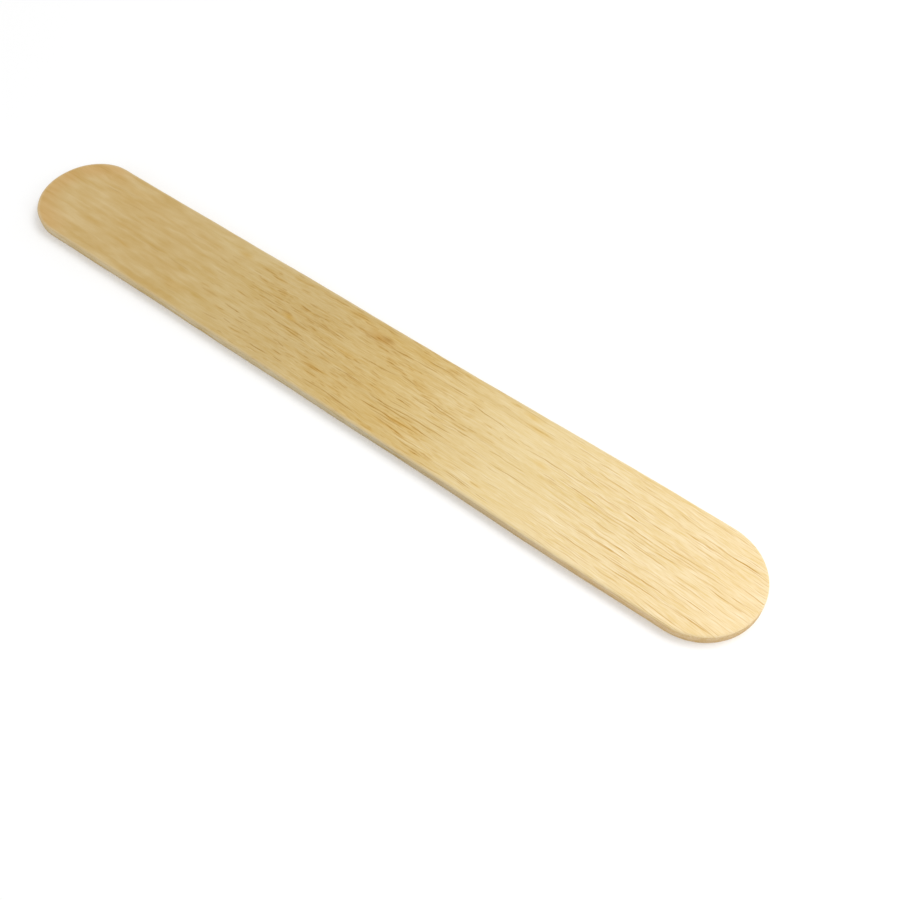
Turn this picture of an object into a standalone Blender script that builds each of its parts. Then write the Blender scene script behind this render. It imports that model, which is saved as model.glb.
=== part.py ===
"""A wooden tongue depressor: one flat blade with full-round ends, lying on its face.

The blade is a single piece of pale hardwood veneer. It is stamped to its outline and then tumbled,
which eases every sharp edge. Here it lies along X with its width along Y. Its under face is on Z = 0
and its middle is over the origin.
"""

import math

import bpy

# Driving dimensions, in metres
BLADE_LENGTH = 0.150  # tip to tip
BLADE_WIDTH = 0.019  # across the parallel sides, and so twice the radius of each end
BLADE_THICKNESS = 0.0020  # the veneer that it is stamped from
EDGE_EASING = 0.0003  # radius that tumbling leaves on each sharp edge

# Fineness of the curved surfaces
STEPS_PER_QUARTER_TURN = 16
STEPS_ACROSS_EASED_EDGE = 3

# Handle length that makes a Bezier segment a quarter of a circle of radius 1
QUARTER_CIRCLE_HANDLE = 4 / 3 * math.tan(math.pi / 8)

# Sharp edges are those that turn by more than this
SHARP_ANGLE = math.radians(60)

# The faces' rims and the edge's own share their places, so a small share of the easing joins them
WELD_SHARE = 0.03

# Bare sanded wood, seen from a step away
WOOD_COLOUR = (0.66, 0.47, 0.23, 1.0)
WOOD_ROUGHNESS = 0.6


def clear_scene():
    """Remove what a new Blender file holds."""
    for item in list(bpy.data.objects):
        bpy.data.objects.remove(item)


def bare_wood():
    """Make the pale unvarnished wood."""
    wood = bpy.data.materials.new("bare_wood")
    wood.use_nodes = True
    shader = wood.node_tree.nodes["Principled BSDF"]
    shader.inputs["Base Color"].default_value = WOOD_COLOUR
    shader.inputs["Roughness"].default_value = WOOD_ROUGHNESS
    shader.inputs["Metallic"].default_value = 0.0
    return wood


def half_outline(side):
    """Three Bezier points around one end, in anticlockwise order.

    Side is 1 for the end at +X and -1 for the end at -X. Each entry holds a point and the directions
    and lengths of its two handles, as (point, arriving handle, leaving handle).
    """
    radius = BLADE_WIDTH / 2
    centre = side * (BLADE_LENGTH / 2 - radius)
    bend = radius * QUARTER_CIRCLE_HANDLE
    straight = 2 * abs(centre) / 3
    return [
        ((centre, -side * radius), (-side * straight, 0), (side * bend, 0)),
        ((centre + side * radius, 0), (0, -side * bend), (0, side * bend)),
        ((centre, side * radius), (side * bend, 0), (-side * straight, 0)),
    ]


def blade_outline():
    """Draw the flat outline: two parallel sides joined by two half circles."""
    curve = bpy.data.curves.new("blade_outline", "CURVE")
    curve.dimensions = "2D"
    spline = curve.splines.new("BEZIER")
    points = half_outline(1) + half_outline(-1)
    spline.bezier_points.add(len(points) - 1)
    for knot, (place, arriving, leaving) in zip(spline.bezier_points, points):
        x, y = place
        knot.handle_left_type = "FREE"
        knot.handle_right_type = "FREE"
        knot.co = (x, y, 0)
        knot.handle_left = (x + arriving[0], y + arriving[1], 0)
        knot.handle_right = (x + leaving[0], y + leaving[1], 0)
    spline.use_cyclic_u = True
    curve.resolution_u = STEPS_PER_QUARTER_TURN
    return curve


def make_blade(collection, wood):
    """Give the outline its thickness, then ease the edges of both faces."""
    curve = blade_outline()
    curve.fill_mode = "BOTH"
    curve.extrude = BLADE_THICKNESS / 2
    blade = bpy.data.objects.new("blade", curve)
    collection.objects.link(blade)
    blade.location.z = BLADE_THICKNESS / 2
    curve.materials.append(wood)

    weld = blade.modifiers.new("join_faces_to_edge", "WELD")
    weld.merge_threshold = EDGE_EASING * WELD_SHARE
    easing = blade.modifiers.new("tumbled_edges", "BEVEL")
    easing.limit_method = "ANGLE"
    easing.angle_limit = SHARP_ANGLE
    easing.width = EDGE_EASING
    easing.segments = STEPS_ACROSS_EASED_EDGE
    return blade


clear_scene()
tongue_depressor = bpy.data.collections.new("tongue_depressor")
bpy.context.scene.collection.children.link(tongue_depressor)
make_blade(tongue_depressor, bare_wood())
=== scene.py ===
import math

import bmesh
import bpy
import numpy as np
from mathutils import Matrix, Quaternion, Vector, noise


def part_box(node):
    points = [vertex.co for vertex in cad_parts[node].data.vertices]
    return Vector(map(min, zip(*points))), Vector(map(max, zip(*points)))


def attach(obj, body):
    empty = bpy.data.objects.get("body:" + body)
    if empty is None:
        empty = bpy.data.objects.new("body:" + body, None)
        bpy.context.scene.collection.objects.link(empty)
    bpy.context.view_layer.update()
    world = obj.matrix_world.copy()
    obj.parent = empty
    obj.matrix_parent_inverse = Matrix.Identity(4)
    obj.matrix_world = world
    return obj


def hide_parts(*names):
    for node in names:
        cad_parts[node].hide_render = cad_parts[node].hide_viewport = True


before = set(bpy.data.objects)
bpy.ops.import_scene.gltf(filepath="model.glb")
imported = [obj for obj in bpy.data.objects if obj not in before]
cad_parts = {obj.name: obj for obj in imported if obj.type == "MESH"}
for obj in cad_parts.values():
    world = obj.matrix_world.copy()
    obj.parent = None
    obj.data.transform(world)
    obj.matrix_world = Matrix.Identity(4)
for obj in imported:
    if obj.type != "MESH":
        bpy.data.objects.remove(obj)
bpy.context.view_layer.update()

# The blade
# One flat piece of pale hardwood veneer, stamped to its outline with a half circle at each end.
# Tumbling with its batch leaves it smooth, with every edge eased and the odd fibre lifted.
low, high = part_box("blade")
half_length = (high.x - low.x) / 2
half_width = (high.y - low.y) / 2
thickness = high.z - low.z
end_centre = half_length - half_width

# Tumbling rounds both rims to this radius
easing = 0.0003
flat_reach = half_width - easing

# Columns run round the outline from the far tip along the near side, and back along the far side
quarter_steps = 26
side_steps = 270
quarter = np.linspace(0, 90, quarter_steps, endpoint=False)
along = np.linspace(-end_centre, end_centre, side_steps, endpoint=False)
turn = np.concatenate([
    180 + quarter, np.full(side_steps, 270.0), 270 + quarter,
    quarter, np.full(side_steps, 90.0), 90 + quarter,
])
spine = np.concatenate([
    np.full(quarter_steps, -end_centre), along, np.full(quarter_steps, end_centre),
    np.full(quarter_steps, end_centre), -along, np.full(quarter_steps, -end_centre),
])
columns = len(turn)
facing = np.stack([np.cos(np.radians(turn)), np.sin(np.radians(turn))], 1)

# Rows run out over the upper face, down the edge and back under to the middle of the lower face
upper_rows = 48
under_rows = 24
ease_steps = 5
wall_rows = 6
round_over = np.radians(np.linspace(0, 90, ease_steps + 1))
reach = np.concatenate([
    np.linspace(0, flat_reach, upper_rows, endpoint=False),
    flat_reach + easing * np.sin(round_over),
    np.full(wall_rows - 1, half_width),
    flat_reach + easing * np.cos(round_over),
    np.linspace(flat_reach, 0, under_rows + 1)[1:],
])
level = np.concatenate([
    np.full(upper_rows, thickness),
    thickness - easing + easing * np.cos(round_over),
    np.linspace(thickness - easing, easing, wall_rows + 1)[1:-1],
    easing - easing * np.sin(round_over),
    np.zeros(under_rows),
])
rows = len(reach)
upper_rim = upper_rows
under_rim = upper_rows + 2 * ease_steps + wall_rows


def ripple(place, wavelengths, seed):
    """Smooth noise from -1 to 1, with a wavelength along each axis."""
    stretched = Vector([part / wavelength for part, wavelength in zip(place, wavelengths)])
    return noise.noise(stretched + Vector((seed, seed, seed)))


# The outline wanders by up to a sixth of a millimetre, less and less towards the middle line, and
# the upper face is not quite flat
slow_wander = 0.00017
quick_wander = 0.00004
slow_wave = (0.022, 0.030, 1.0)
quick_wave = (0.0035, 0.006, 0.002)
face_swell = 0.00002
face_wave = (0.012, 0.0022, 1.0)
fade_power = 3
points = np.zeros((rows, columns, 3))
for column in range(columns):
    rim = Vector((spine[column] + half_width * facing[column, 0], half_width * facing[column, 1], 0))
    wander = slow_wander * ripple(rim, slow_wave, seed=3.7)
    for row in range(rows):
        out = reach[row]
        share = (out / half_width) ** fade_power
        x = spine[column] + out * facing[column, 0]
        y = out * facing[column, 1]
        z = level[row]
        push = share * (wander + quick_wander * ripple((x, y, z), quick_wave, seed=8.1))
        lift = face_swell * ripple((x, y, 0), face_wave, seed=5.3) * (z / thickness)
        points[row, column] = (x + push * facing[column, 0], y + push * facing[column, 1], z + lift)

# The map unfolds the blade into the upper face, the under face and the two halves of the edge
quarter_run = math.pi * half_width / 2
edge_run = 2 * end_centre + 2 * quarter_run
strip_of_face = {"upper": (0.02, 0.41), "under": (0.43, 0.80)}
strip_of_edge = {"near": (0.82, 0.90), "far": (0.91, 0.99)}
map_margin = 0.01
step_lengths = np.concatenate([
    np.full(quarter_steps, quarter_run / quarter_steps),
    np.full(side_steps, 2 * end_centre / side_steps),
    np.full(quarter_steps, quarter_run / quarter_steps),
])
run = np.concatenate([[0], np.cumsum(step_lengths)])
half_columns = columns // 2


def face_map(strip, x, y):
    """Place on the map for a point of the upper or under face."""
    bottom, top = strip_of_face[strip]
    u = (x + half_length) / (2 * half_length)
    v = (y + half_width) / (2 * half_width)
    return map_margin + (1 - 2 * map_margin) * u, bottom + (top - bottom) * v


def edge_map(row, step, side):
    """Place on the map for a point of the edge, by its run along one side from a tip."""
    bottom, top = strip_of_edge[side]
    u = run[step] / edge_run
    v = (row - upper_rim) / (under_rim - upper_rim)
    return map_margin + (1 - 2 * map_margin) * u, bottom + (top - bottom) * v


faces = []
places = []
for row in range(rows - 1):
    for column in range(columns):
        after = (column + 1) % columns
        corners = [(row, column), (row + 1, column), (row + 1, after), (row, after)]
        faces.append([r * columns + c for r, c in corners])
        if row < upper_rim or row >= under_rim:
            strip = "upper" if row < upper_rim else "under"
            places += [face_map(strip, *points[r, c, :2]) for r, c in corners]
        else:
            side = "near" if column < half_columns else "far"
            start = 0 if column < half_columns else half_columns
            steps = [column - start, column - start, column - start + 1, column - start + 1]
            places += [edge_map(r, step, side) for (r, c), step in zip(corners, steps)]

mesh = bpy.data.meshes.new("wooden_blade")
mesh.from_pydata(points.reshape(-1, 3).tolist(), [], faces)
unfolded = mesh.uv_layers.new(name="OFBake")
unfolded.data.foreach_set("uv", np.array(places, np.float32).ravel())
blade = bpy.data.objects.new("wooden_blade", mesh)
bpy.context.scene.collection.objects.link(blade)

# The near and far sides meet along the middle line, where their points are joined
weld_distance = 0.000001
weld = bmesh.new()
weld.from_mesh(mesh)
bmesh.ops.remove_doubles(weld, verts=weld.verts, dist=weld_distance)
bmesh.ops.recalc_face_normals(weld, faces=weld.faces)
weld.to_mesh(mesh)
weld.free()
mesh.shade_smooth()


class Wire:
    """One socket of a shader, wrapped so that shader maths reads as plain expressions."""

    def __init__(self, socket):
        self.socket = socket

    def node(self, kind, settings, sockets, output=0):
        """Add a node to the same shader: its settings first, then its sockets' values or links."""
        tree = self.socket.id_data
        made = tree.nodes.new(kind)
        for name, value in settings.items():
            if name == "stops":
                stops = made.color_ramp.elements
                while len(stops) < len(value):
                    stops.new(0.5)
                for stop, (position, colour) in zip(stops, value):
                    stop.position = position
                    stop.color = colour
            else:
                setattr(made, name, value)
        for name, value in sockets.items():
            if isinstance(value, Wire):
                tree.links.new(value.socket, made.inputs[name])
            else:
                made.inputs[name].default_value = value
        return Wire(made.outputs[output])

    def feed(self, socket):
        """Link this wire to a socket of a node that is already there."""
        self.socket.id_data.links.new(self.socket, socket)

    def maths(self, operation, *values):
        """One step of arithmetic on wires and numbers."""
        return self.node("ShaderNodeMath", {"operation": operation}, dict(enumerate(values)))

    def __add__(self, other):
        return self.maths("ADD", self, other)

    def __sub__(self, other):
        return self.maths("SUBTRACT", self, other)

    def __mul__(self, other):
        return self.maths("MULTIPLY", self, other)

    def __truediv__(self, other):
        return self.maths("DIVIDE", self, other)

    def __rsub__(self, other):
        return self.maths("SUBTRACT", other, self)

    def __abs__(self):
        return self.maths("ABSOLUTE", self)

    __radd__ = __add__
    __rmul__ = __mul__

    def part(self, axis):
        """One of a vector's three parts."""
        return self.node("ShaderNodeSeparateXYZ", {}, {0: self}, axis)

    def at_least(self, low):
        """This value, or low where it is lower."""
        return self.maths("MAXIMUM", self, low)

    def root(self):
        """The square root."""
        return self.maths("SQRT", self)

    def rise(self, start, end):
        """0 up to start, 1 from end, and a smooth rise between.

        It keeps within 0 and 1 by itself. Clamping it as well, in a shader with so many strokes, would
        take more room than the renderer has, and the wood would come out black.
        """
        settings = {"interpolation_type": "SMOOTHSTEP", "clamp": False}
        sockets = {"Value": self, "From Min": start, "From Max": end}
        return self.node("ShaderNodeMapRange", settings, sockets)

    def fall(self, start, end):
        """1 up to start, 0 from end, and a smooth fall between."""
        return 1 - self.rise(start, end)

    def tint(self, colour, amount, blend="MIX"):
        """This colour with another one laid over it."""
        settings = {"data_type": "RGBA", "blend_type": blend, "clamp_factor": True}
        return self.node("ShaderNodeMix", settings, {0: amount, 6: self, 7: colour}, 2)


wood = bpy.data.materials.new("bare_wood")
wood.use_nodes = True
shader = wood.node_tree.nodes["Principled BSDF"]
finish = Wire(shader.outputs["BSDF"])

# Millimetres along the grain, across it and up through the thickness
mm_per_metre = 1000.0
in_metres = finish.node("ShaderNodeTexCoord", {}, {}, "Object")
scaled = {0: in_metres, "Scale": mm_per_metre}
in_mm = in_metres.node("ShaderNodeVectorMath", {"operation": "SCALE"}, scaled)
x = in_mm.part("X")
y = in_mm.part("Y")
z = in_mm.part("Z")
top_mm = thickness * mm_per_metre

# Which way the surface faces tells the cut edge from the flat faces, and end grain from side grain
surface = finish.node("ShaderNodeTexCoord", {}, {}, "Normal")
flatness = abs(surface.part("Z"))
on_edge = flatness.fall(0.1, 0.6)
along_grain = abs(surface.part("X")).fall(0.5, 0.9)


def vector(*parts):
    """Three parts joined into a vector."""
    return in_mm.node("ShaderNodeCombineXYZ", {}, dict(enumerate(parts)))


def grain(place, lengths, seed, detail=2.0):
    """Noise from 0 to 1, with its own wavelength along, across and through the wood."""
    sockets = {"Vector": place, "Location": (seed, seed, seed), "Scale": lengths}
    stretched = place.node("ShaderNodeMapping", {"vector_type": "TEXTURE"}, sockets)
    return place.node("ShaderNodeTexNoise", {}, {"Vector": stretched, "Scale": 1.0, "Detail": detail})


# The fibres wander slowly to either side, wriggle a little, and lean over towards the near end
drift_reach = 2.4
wriggle_reach = 0.48
lean_start = -25
lean_rate = 0.00030
drift = (grain(in_mm, (60, 12, 12), seed=3.1, detail=1.0) - 0.5) * drift_reach
wriggle = (grain(in_mm, (3.8, 2.2, 2.2), seed=7.7, detail=1.0) - 0.5) * wriggle_reach
past_start = (x - lean_start).at_least(0.0)
lean = past_start * past_start * lean_rate
thread = y + wriggle
across = thread + drift + lean
fibre = vector(x, across, z)

# How far a point lies from the blade's middle line, which ends at the centres of the round ends
past_centre = (abs(x) - end_centre * mm_per_metre).at_least(0.0)
from_spine = (past_centre * past_centre + y * y).root()
from_rim = half_width * mm_per_metre - from_spine

# The near end is paler than the rest, partly as young growth and partly as painted light for the brighter
# light it gets, and the border between them is streaky
streaky = grain(fibre, (34, 1.4, 1.4), seed=11.3)
border_width = 22
place_along = x + (streaky - 0.5) * border_width
growth_and_painted_light = [
    (-66, (0.572, 0.404, 0.168, 1)),
    (-44, (0.545, 0.382, 0.152, 1)),
    (-30, (0.560, 0.408, 0.172, 1)),
    (-12, (0.552, 0.397, 0.162, 1)),
    (9, (0.606, 0.430, 0.165, 1)),
    (33, (0.744, 0.581, 0.296, 1)),
    (75, (0.812, 0.628, 0.342, 1)),
]
whole_length = 2 * half_length * mm_per_metre


def ramp(place, colours):
    """A colour that changes along the blade, from colours at places in millimetres from its middle."""
    stops = [(middle_to_stop / whole_length + 0.5, colour) for middle_to_stop, colour in colours]
    return place.node("ShaderNodeValToRGB", {"stops": stops}, {0: place / whole_length + 0.5})


# The blade's colour along its length, with painted light in the paler near end
bare_and_painted_light = ramp(place_along, growth_and_painted_light)

# Broad soft bands, patches and fine fibres, which the far end shows less crisply
bands = grain(fibre, (52, 2.4, 2.4), seed=17.3) - 0.5
patches = grain(fibre, (7, 1.6, 1.6), seed=23.9) - 0.5
blotches = grain(fibre, (4.5, 1.1, 1.1), seed=37.3) - 0.5
ridges = grain(fibre, (16, 0.6, 0.6), seed=29.9) - 0.5
fibres = grain(fibre, (6, 0.22, 0.22), seed=31.7) - 0.5
hairs = grain(fibre, (1.6, 0.12, 0.12), seed=43.1, detail=1.0) - 0.5
far_part = x.fall(-40, -6)
middle_part = x.rise(-38, -12) * x.fall(18, 34)
near_part = x.rise(30, 48)
calm_stretch = x.rise(16, 26) * x.fall(36, 46)

# How strongly each of them shows
band_depth = 0.22
patch_depth = far_part * 0.30 + 0.26
blotch_depth = far_part * 0.40
ridge_depth = far_part * 0.12 + near_part * 0.08 + 0.22
fibre_depth = 0.42
hair_depth = 0.5
crispness = x.rise(-44, -8) * 0.92 + 0.18
calm = 1 - calm_stretch * 0.34

# The shortest and the faintest stroke of a layer, as shares of the longest and the strongest one
shortest_share = 0.3
faintest_share = 0.4
slope_through = 1.7


def dashes(cell, longest, width, share, seed):
    """Tapered strokes along the grain, at most one to a cell, and the soft surround of each.

    A cell's length and height, like all the sizes here, are in millimetres. Share is the share of
    the cells that hold a stroke. Each layer of strokes slopes through the thickness.
    """
    layer = across + z * slope_through
    place = vector(x / cell[0] + seed, layer / cell[1] + seed * 2, 0.0)
    settings = {"voronoi_dimensions": "2D", "feature": "F1"}
    sockets = {"Vector": place, "Scale": 1.0, "Randomness": 1.0}
    middle = place.node("ShaderNodeTexVoronoi", settings, sockets, "Position")
    dice = place.node("ShaderNodeTexVoronoi", settings, sockets, "Color")
    offset = place.node("ShaderNodeVectorMath", {"operation": "SUBTRACT"}, {0: place, 1: middle})
    length = longest * (shortest_share + dice.part("X") * (1 - shortest_share))
    shown = (share - dice.part("Y")).rise(0.0, 0.1)
    strength = shown * (faintest_share + dice.part("Z") * (1 - faintest_share))
    ahead = abs(offset.part("X")) * cell[0] / length
    aside = abs(offset.part("Y")) * cell[1] / width
    stroke = ahead.fall(0.3, 1.0) * aside.fall(0.2, 1.0) * strength
    surround = ahead.fall(0.3, 1.3) * aside.fall(0.5, 4.0) * strength
    return stroke, surround


# Pores and flecks bunch together in the middle, and the near end has long thin lines instead
bunched = grain(fibre, (13, 2.6, 2.6), seed=53.1, detail=1.0).rise(0.42, 0.60)
in_middle = middle_part * (bunched * 0.45 + 0.22)
pore_share = in_middle + 0.07
fleck_share = in_middle + 0.05
line_share = near_part * 0.95
thread_share = x.rise(4, 50) * 0.5 + 0.1
pores, pore_stains = dashes((5.2, 0.75), longest=3.0, width=0.13, share=pore_share, seed=2.3)
flecks, fleck_stains = dashes((2.6, 0.48), longest=1.4, width=0.10, share=fleck_share, seed=17.9)
lines, line_lips = dashes((15.0, 0.9), longest=8.0, width=0.12, share=line_share, seed=29.3)
threads, thread_lips = dashes((7.0, 0.55), longest=3.6, width=0.10, share=thread_share, seed=61.7)

# The dark strokes that stand out on the upper face, short in the middle and long at the near end, then
# the orange stains: each runs from one place to another, and its height and its strength follow
strokes = [
    # Towards the far end
    (-48, -1.3, -43, -1.1, 0.4, 0.15), (-43, -1.6, -36, -1.8, 0.5, 0.4), (-34.7, 3.8, -32, 3.6, 0.4, 0.5),
    (-33, 1.2, -30.2, 1.2, 0.4, 0.45), (-32.5, -3.1, -27.5, -3.1, 0.7, 0.4),
    (-31, -1.2, -28.6, -1.1, 0.3, 0.4),
    # In the middle
    (-26.5, -3.4, -21.7, -3.6, 0.36, 0.8), (-28.2, -7.1, -24, -6.8, 0.4, 0.55),
    (-24.2, 6.0, -19.8, 6.2, 0.4, 0.7), (-24, -6.05, -21.8, -6.05, 0.42, 0.8),
    (-23.8, 2.4, -19.8, 2.6, 0.34, 0.6), (-22.3, -4.3, -19.7, -4.3, 0.34, 0.75),
    (-22, 1.7, -18.5, 1.4, 0.34, 0.6), (-20.9, 4.2, -17.8, 4.3, 0.34, 0.6),
    (-19.8, -6.1, -17.6, -6.0, 0.42, 0.75), (-19, 1.25, -14, 1.15, 0.3, 0.65),
    (-17, -1.3, -12.5, -1.1, 0.34, 0.9), (-13.8, -1.5, -9, -1.7, 0.4, 0.9),
    (-12.4, -0.9, -9.8, -1.1, 0.3, 0.8), (-17, -7.4, -12, -7.3, 0.38, 1.1),
    (-15.2, 3.9, -12.2, 3.75, 0.44, 0.95), (-15, 3.3, -12.6, 3.5, 0.3, 0.5),
    (-14.2, 5.1, -11.8, 5.05, 0.32, 0.6), (-16.2, -2.9, -11, -3.1, 0.34, 0.6),
    (-14, -4.3, -12, -4.2, 0.36, 0.7), (-12.8, -4.3, -11, -4.6, 0.34, 0.9),
    (-13.2, 1.05, -10.4, 0.7, 0.3, 0.6), (-12.2, 3.8, -8.6, 3.95, 0.3, 0.65),
    (-12, 2.5, -5.5, 2.5, 0.34, 0.7), (-13, -5.9, -10, -6.0, 0.3, 0.55),
    (-11.5, -7.1, -8.9, -7.1, 0.34, 0.9), (-7.8, 8.0, -2.6, 8.0, 0.44, 0.75),
    (-7, -0.35, -2.6, -0.45, 0.3, 0.85), (-7.5, -4.9, -1.3, -4.9, 0.38, 0.7),
    (-6.7, 3.2, -2.8, 3.0, 0.32, 0.65), (-5.6, -1.9, -2.6, -1.95, 0.32, 0.65),
    (-4.4, -7.45, 1.2, -7.35, 0.34, 0.75), (-3.5, 4.4, 0.6, 4.5, 0.3, 0.6),
    (-2.7, 5.75, 1.0, 5.65, 0.32, 0.7), (-2, -2.75, 2.2, -2.45, 0.3, 0.75), (0, 8.85, 4, 8.9, 0.3, 0.45),
    (-0.3, 0.3, 2.0, 0.25, 0.34, 0.6), (0.5, 1.35, 4.5, 1.65, 0.32, 0.95),
    (3.5, 1.6, 8.5, 1.9, 0.32, 0.85), (0, -2.6, 4.8, -2.65, 0.3, 0.8), (-0.6, -7.3, 7.8, -7.8, 0.36, 1.0),
    (3.7, 3.3, 8.9, 3.2, 0.32, 0.75), (8, 2.4, 12.6, 2.1, 0.32, 0.9), (10.4, 7.4, 15, 7.35, 0.34, 0.95),
    (14, 7.2, 18.8, 6.9, 0.32, 0.6), (13.6, 7.8, 17.4, 7.75, 0.3, 0.5), (14, 5.4, 20.6, 5.4, 0.32, 0.95),
    (12.4, 3.7, 20, 3.65, 0.28, 0.45), (9.6, 5.25, 15, 5.3, 0.3, 0.5), (12, 1.15, 22, 1.0, 0.32, 0.95),
    (16, 0.7, 22, 0.5, 0.34, 1.15), (21.4, 0.5, 26, 0.55, 0.3, 0.8), (12, 0.15, 16.8, 0.0, 0.32, 0.9),
    (15, -0.35, 21, -0.5, 0.3, 0.5), (19.6, -0.7, 27, -0.75, 0.34, 0.8),
    (8.6, -0.85, 13.4, -1.0, 0.3, 0.65), (10.3, -1.65, 13.9, -1.55, 0.34, 0.95),
    (16.3, -2.05, 22.7, -1.9, 0.34, 1.1), (9.6, -2.5, 14.2, -2.4, 0.3, 0.65),
    (6.2, -3.65, 14.4, -3.35, 0.34, 1.0), (11.4, -3.4, 23, -3.1, 0.34, 1.05),
    (7.4, -4.0, 16.6, -3.9, 0.32, 0.9), (5.6, -5.1, 13.4, -5.15, 0.38, 1.25),
    (10.8, -5.2, 18.4, -4.9, 0.36, 1.0), (7.8, -5.65, 16, -5.5, 0.34, 0.9),
    (9.2, -6.4, 16.8, -6.5, 0.34, 0.95), (13.6, -6.8, 20.6, -6.9, 0.32, 0.85),
    (9.8, -6.1, 14.4, -6.05, 0.28, 0.6), (14.4, -7.3, 22.6, -7.9, 0.3, 0.8),
    (18.6, -9.0, 26.8, -8.7, 0.3, 0.6), (20.6, 4.5, 29.4, 3.9, 0.34, 1.15),
    (24.8, -7.7, 31.4, -8.05, 0.34, 0.95),
    # Towards the near end
    (28, 6.8, 37.4, 6.5, 0.4, 0.3), (27, 8.6, 37, 8.5, 0.3, 0.5), (28.4, -0.95, 31.4, -0.65, 0.28, 0.7),
    (30, -0.7, 36, -0.9, 0.3, 0.85), (29.6, -2.6, 39, -2.75, 0.3, 0.9), (28.4, 3.1, 32.4, 2.8, 0.28, 0.7),
    (32, 2.75, 46, 2.8, 0.34, 1.1), (45, 2.6, 51.6, 1.75, 0.32, 0.5), (40.6, 4.0, 46.8, 3.5, 0.32, 0.85),
    (41.6, 1.2, 49.6, 0.8, 0.34, 0.85), (43, 7.2, 47.4, 7.15, 0.34, 0.6),
    (48, 7.2, 57.6, 6.85, 0.34, 0.5), (47.2, 0.3, 55.6, -0.15, 0.3, 0.6),
    (53, -0.45, 58.4, -0.85, 0.32, 0.6), (57.6, -0.8, 63, -0.6, 0.36, 0.8),
    (48, -1.55, 53, -1.8, 0.34, 0.75), (49, -3.1, 56.6, -3.4, 0.32, 0.75), (43, -4.2, 47, -4.4, 0.3, 0.6),
    (45.4, -4.35, 57.4, -4.2, 0.38, 0.85), (56, -4.2, 63.6, -4.05, 0.3, 0.6),
    (50.6, -5.5, 65, -5.8, 0.38, 1.0), (43.2, -6.3, 54.6, -6.5, 0.34, 0.8),
    (53, -6.8, 64, -6.85, 0.36, 1.0), (62.6, -6.9, 73, -7.0, 0.36, 0.8),
    (52, -7.8, 57.6, -8.1, 0.3, 0.65), (52.6, 5.6, 60.4, 5.3, 0.32, 0.6),
    (59.6, 4.75, 66, 4.25, 0.34, 0.7), (63.8, 5.2, 73.4, 5.0, 0.36, 0.75),
    (50, 3.45, 55.6, 3.15, 0.3, 0.6), (51, 2.25, 54.2, 2.05, 0.34, 0.8),
    (56, 1.15, 66.8, 0.95, 0.34, 0.85), (58.6, 0.65, 70.6, 0.25, 0.32, 0.7),
    (63.6, -0.45, 70.6, -0.8, 0.32, 0.65), (67.4, -1.2, 75, -1.7, 0.34, 0.75),
    (61.6, -2.15, 67.4, -2.4, 0.3, 0.6), (70, -0.5, 75, -0.45, 0.28, 0.6),
    (65.6, 3.65, 69.4, 3.4, 0.3, 0.6),
]
stains = [
    (-66, 6.4, -49, 6.8, 2.0, 0.6), (-69, 3.8, -50, 4.2, 1.8, 0.5), (-54, -4.1, -48, -4.3, 1.2, 0.9),
    (-58.5, -0.9, -51, -1.0, 1.1, 0.6), (-60, -6.7, -47, -6.6, 1.3, 0.4),
    (-53.5, 3.2, -49.5, 3.1, 0.8, 0.6), (-63, -3.4, -56, -3.5, 1.2, 0.35),
    (-48.5, -1.3, -42.5, -1.1, 0.8, 0.3), (-33, 6.9, -28.5, 6.9, 1.6, 1.3),
    (-32.5, -3.1, -27.5, -3.1, 1.6, 0.45), (-39.5, -5.7, -32.5, -5.8, 2.6, 1.0),
    (-20.5, 4.2, -17.5, 4.2, 1.2, 1.1), (-17, 0.8, -12.8, 0.8, 1.4, 2.2),
    (-14.5, -1.4, -9, -1.5, 1.6, 1.0), (-15.6, 3.6, -11.5, 3.7, 1.4, 0.8), (-9, 8.2, -1.6, 8.0, 1.5, 1.5),
    (-8, -4.9, -0.8, -4.9, 1.3, 1.2), (-5, 0.5, 2.0, 0.4, 1.2, 1.3), (5.6, -5.4, 19, -5.2, 2.6, 0.45),
    (8.6, -6.4, 19, -6.7, 1.6, 0.5), (28, 6.7, 37.4, 6.5, 1.4, 1.0), (28.4, 8.15, 33, 8.1, 1.3, 1.5),
    (34.4, 1.8, 39, 1.5, 1.1, 1.2), (16, 0.8, 22, 0.7, 1.4, 0.4), (9, 8.6, 12.5, 8.2, 2.0, 0.45),
    (11, -5.1, 19, -4.9, 1.0, 1.6), (-24, 6.1, -19.4, 6.1, 1.1, 1.3),
]

# A streak wriggles with the fibres but keeps to its place, and it reaches this far into the wood
streak_sink = 0.5
wriggling = vector(x, thread, z)


def streak(start_x, start_y, end_x, end_y, height):
    """A tapered streak on the upper face, from 0 at its rim to 1 in its middle."""
    run = end_x - start_x
    rise = end_y - start_y
    sockets = {
        "Vector": wriggling,
        "Location": ((start_x + end_x) / 2, (start_y + end_y) / 2, top_mm),
        "Rotation": (0.0, 0.0, math.atan2(rise, run)),
        "Scale": (math.hypot(run, rise) / 2, height / 2, streak_sink),
    }
    stretched = wriggling.node("ShaderNodeMapping", {"vector_type": "TEXTURE"}, sockets)
    settings = {"gradient_type": "SPHERICAL"}
    return stretched.node("ShaderNodeTexGradient", settings, {"Vector": stretched}, 1)


stroke_slimness = 0.68
placed = sum(
    streak(*ends, height * stroke_slimness).rise(0.0, 0.4) * strength
    for *ends, height, strength in strokes
)
placed_stains = sum(streak(*ends, height) * strength for *ends, height, strength in stains)

# One small knot lies near the far side, with its grain drawn out into a tail
knot = streak(-3.6, 5.9, 4.8, 6.5, 3.0)
knot_heart = streak(0.4, 6.9, 3.8, 6.6, 1.2) * 0.62
root_of_tail = streak(2.6, 5.8, 9.2, 6.05, 0.32).rise(0.0, 0.5) * 1.15
tip_of_tail = streak(8.0, 6.0, 13.8, 6.3, 0.28).rise(0.0, 0.5) * 0.95
drawn = placed + root_of_tail + tip_of_tail

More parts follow.
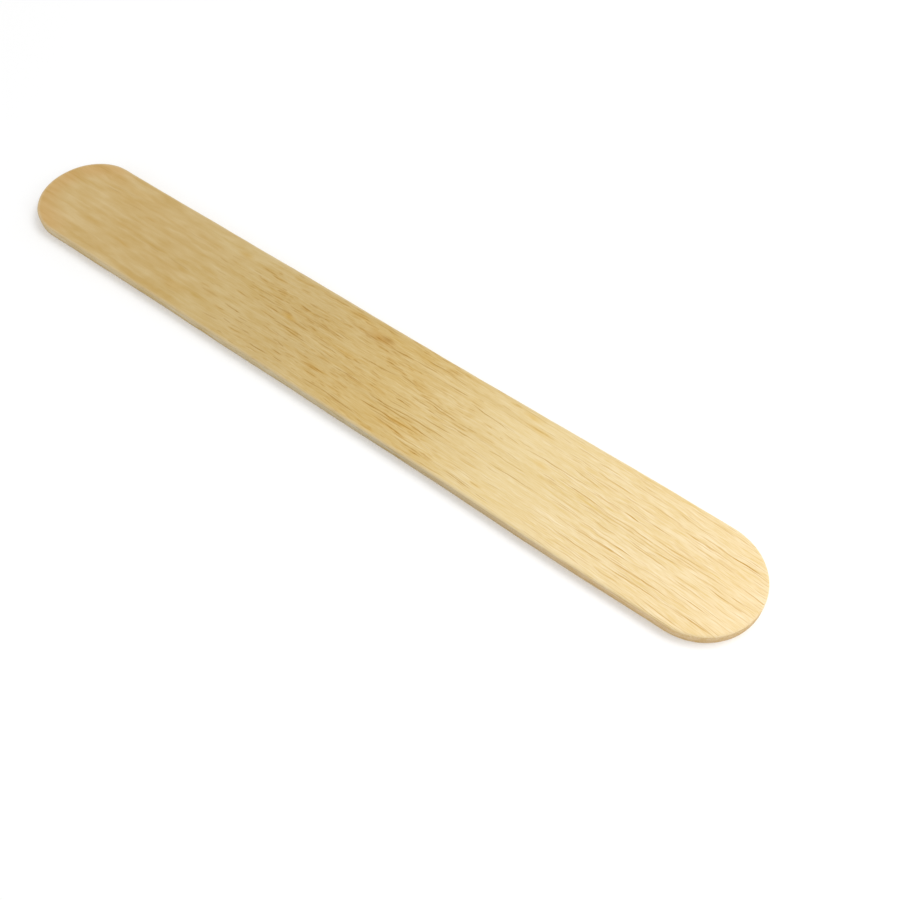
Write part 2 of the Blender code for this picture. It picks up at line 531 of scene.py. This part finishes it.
# The whole figure, from browner at -0.5 to paler at 0.5, with pale lips beside the lines
lip_depth = 0.08
figure = (
    bands * band_depth + patches * patch_depth * calm + blotches * blotch_depth
    + ridges * ridge_depth * calm + (fibres * fibre_depth + hairs * hair_depth) * crispness * calm
    + (line_lips + thread_lips) * lip_depth
)
shade = (0.80, 0.64, 0.14, 1)
light = (1.20, 1.36, 1.86, 1)


def figured(colour, depth, amount):
    """A colour with the figure laid over it."""
    sockets = {0: figure * depth + 0.5, 6: shade, 7: light}
    tone = figure.node("ShaderNodeMix", {"data_type": "RGBA"}, sockets, 2)
    return colour.tint(tone, amount, "MULTIPLY")


colour = figured(bare_and_painted_light, depth=1.0, amount=1.0)

# Handling has browned the far tip
tip_brown = (0.985, 0.885, 0.765, 1)
browned = from_spine.rise(4.0, 8.5) * x.fall(-69, -60) * (1 + patches * 1.5)
colour = colour.tint(tip_brown, browned, "MULTIPLY")

# The cut edge is greyer than the faces, nearly of one tone from end to end, more strongly lined, and
# darker towards its foot with painted shade
edge_tans = [
    (-60, (0.575, 0.455, 0.255, 1)),
    (-12, (0.560, 0.460, 0.275, 1)),
    (12, (0.510, 0.425, 0.262, 1)),
    (36, (0.550, 0.423, 0.238, 1)),
    (62, (0.630, 0.452, 0.228, 1)),
]
painted_edge_foot_shade = (0.90, 0.86, 0.80, 1)
edge_colour = figured(ramp(x, edge_tans), depth=1.6, amount=0.8)
# Painted shade darkens the edge towards its foot, where it meets the table
edge_colour = edge_colour.tint(painted_edge_foot_shade, z.fall(0.3, 1.4), "MULTIPLY")
colour = colour.tint(edge_colour, on_edge)

# Strokes break up along their length, and the scattered ones stay off the cut ends
pore_depth = 0.46
fleck_depth = 0.38
line_depth = 0.51
thread_depth = 0.43
scatter_depth = 1.14
pore_stain_depth = 0.28
fleck_stain_depth = 0.12
placed_stain_depth = 0.4
broken = grain(fibre, (2.6, 0.45, 0.45), seed=71.3, detail=1.0).rise(0.34, 0.56) * 0.5 + 0.55
scattered = pores * pore_depth + flecks * fleck_depth + lines * line_depth + threads * thread_depth
drawn_depth = broken * 0.35 + 0.25 + fibres * 0.55
dark = scattered * broken * along_grain * scatter_depth + drawn * drawn_depth + knot_heart
scattered_stains = pore_stains * pore_stain_depth + fleck_stains * fleck_stain_depth
stained = scattered_stains * along_grain + placed_stains * placed_stain_depth

orange = (0.92, 0.76, 0.34, 1)
umber = (0.62, 0.45, 0.15, 1)
near_umber = (0.66, 0.45, 0.11, 1)
knot_brown = (0.86, 0.73, 0.50, 1)
colour = colour.tint(orange, stained, "MULTIPLY")
colour = colour.tint(knot_brown, knot, "MULTIPLY")
colour = colour.tint(umber, dark * (1 - near_part), "MULTIPLY")
colour = colour.tint(near_umber, dark * near_part, "MULTIPLY")

# Tumbling has burnished the arris pale, and the same pale band is also a painted highlight where the
# rounded rim catches the light
arris_pale_and_highlight = (0.64, 0.525, 0.33, 1)
worn_and_highlight = from_rim.fall(0.1, 0.65) * flatness.rise(0.1, 0.5) * (x.fall(24, 52) * 0.7 + 0.3)
# Paler along the rim: part burnished wear, part painted highlight
colour = colour.tint(arris_pale_and_highlight, worn_and_highlight * (0.55 + hairs * 0.8))
colour.feed(shader.inputs["Base Color"])

# Open pores are sunk and dull, and raised fibres catch a little more light
relief_height = 0.00005
relief_strength = 0.5
wood_roughness = 0.6
wood_gloss = 0.3
relief = ridges * 0.4 + fibres * 0.5 + hairs * 0.35 - dark * 1.3
sockets = {"Strength": relief_strength, "Distance": relief_height, "Height": relief}
relief.node("ShaderNodeBump", {}, sockets).feed(shader.inputs["Normal"])
roughness = wood_roughness + dark * 0.2 - ridges * 0.15 + on_edge * 0.1
roughness.feed(shader.inputs["Roughness"])
shader.inputs["Specular IOR Level"].default_value = wood_gloss
blade.data.materials.append(wood)
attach(blade, "root")
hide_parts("blade")

# The table
# A plain matt white sheet, wide enough to run past every view. It glows by just what it soaks up
# of the room's light, so that its far edge melts into the room.
table_size = 20.0
table_white = 0.88
table_roughness = 0.9
room_light = 0.78
bpy.ops.mesh.primitive_plane_add(size=table_size, location=(0, 0, 0))
table = bpy.context.object
table.name = "table"
white = bpy.data.materials.new("matt_white")
white.use_nodes = True
sheet = white.node_tree.nodes["Principled BSDF"].inputs
sheet["Base Color"].default_value = (table_white, table_white, table_white, 1)
sheet["Roughness"].default_value = table_roughness
sheet["Specular IOR Level"].default_value = 0.0
sheet["Emission Color"].default_value = (1, 1, 1, 1)
sheet["Emission Strength"].default_value = room_light * (1 - table_white)
table.data.materials.append(white)

# The light
# A pale room all round, one wide soft panel high behind, a small close one over the near end, and a
# weak one low in front that opens up the shade of the near edge.
room = bpy.data.worlds.new("pale_room")
room.use_nodes = True
room.node_tree.nodes["Background"].inputs["Color"].default_value = (1, 1, 1, 1)
room.node_tree.nodes["Background"].inputs["Strength"].default_value = room_light
bpy.context.scene.world = room


def panel(name, place, aim, side, watts):
    """Hang a soft square panel that faces its aim."""
    glow = bpy.data.lights.new(name, "AREA")
    glow.shape = "SQUARE"
    glow.size = side
    glow.energy = watts
    lamp = bpy.data.objects.new(name, glow)
    lamp.location = place
    lamp.rotation_mode = "QUATERNION"
    lamp.rotation_quaternion = (Vector(aim) - Vector(place)).to_track_quat("-Z", "Y")
    bpy.context.scene.collection.objects.link(lamp)


panel("back_panel", place=(0.25, 0.55, 0.80), aim=(0, 0, 0), side=0.50, watts=3.0)
panel("near_end_panel", place=(0.17, 0.05, 0.12), aim=(0.075, 0, 0), side=0.08, watts=0.07)
panel("front_panel", place=(-0.35, -0.60, 0.20), aim=(0, 0, 0), side=0.40, watts=0.3)

# The camera
# It looks down on the blade from beyond its right-hand end, tipped a little clockwise.
picture_width = 900
focal_length_px = 1100
aim = Vector((0.02389, -0.00431, thickness))
distance = 0.1686
azimuth = math.radians(43.07)
elevation = math.radians(55.89)
roll = math.radians(-5.59)
back = Vector((
    math.sin(azimuth) * math.cos(elevation),
    -math.cos(azimuth) * math.cos(elevation),
    math.sin(elevation),
))
camera_data = bpy.data.cameras.new("camera")
camera_data.sensor_width = 36
camera_data.lens = camera_data.sensor_width * focal_length_px / picture_width
camera_data.clip_start = 0.01
camera = bpy.data.objects.new("camera", camera_data)
camera.location = aim + back * distance
camera.rotation_mode = "QUATERNION"
camera.rotation_quaternion = (-back).to_track_quat("-Z", "Y") @ Quaternion((0, 0, 1), roll)
bpy.context.scene.collection.objects.link(camera)
bpy.context.scene.camera = camera
bpy.context.scene.view_settings.view_transform = "Standard"
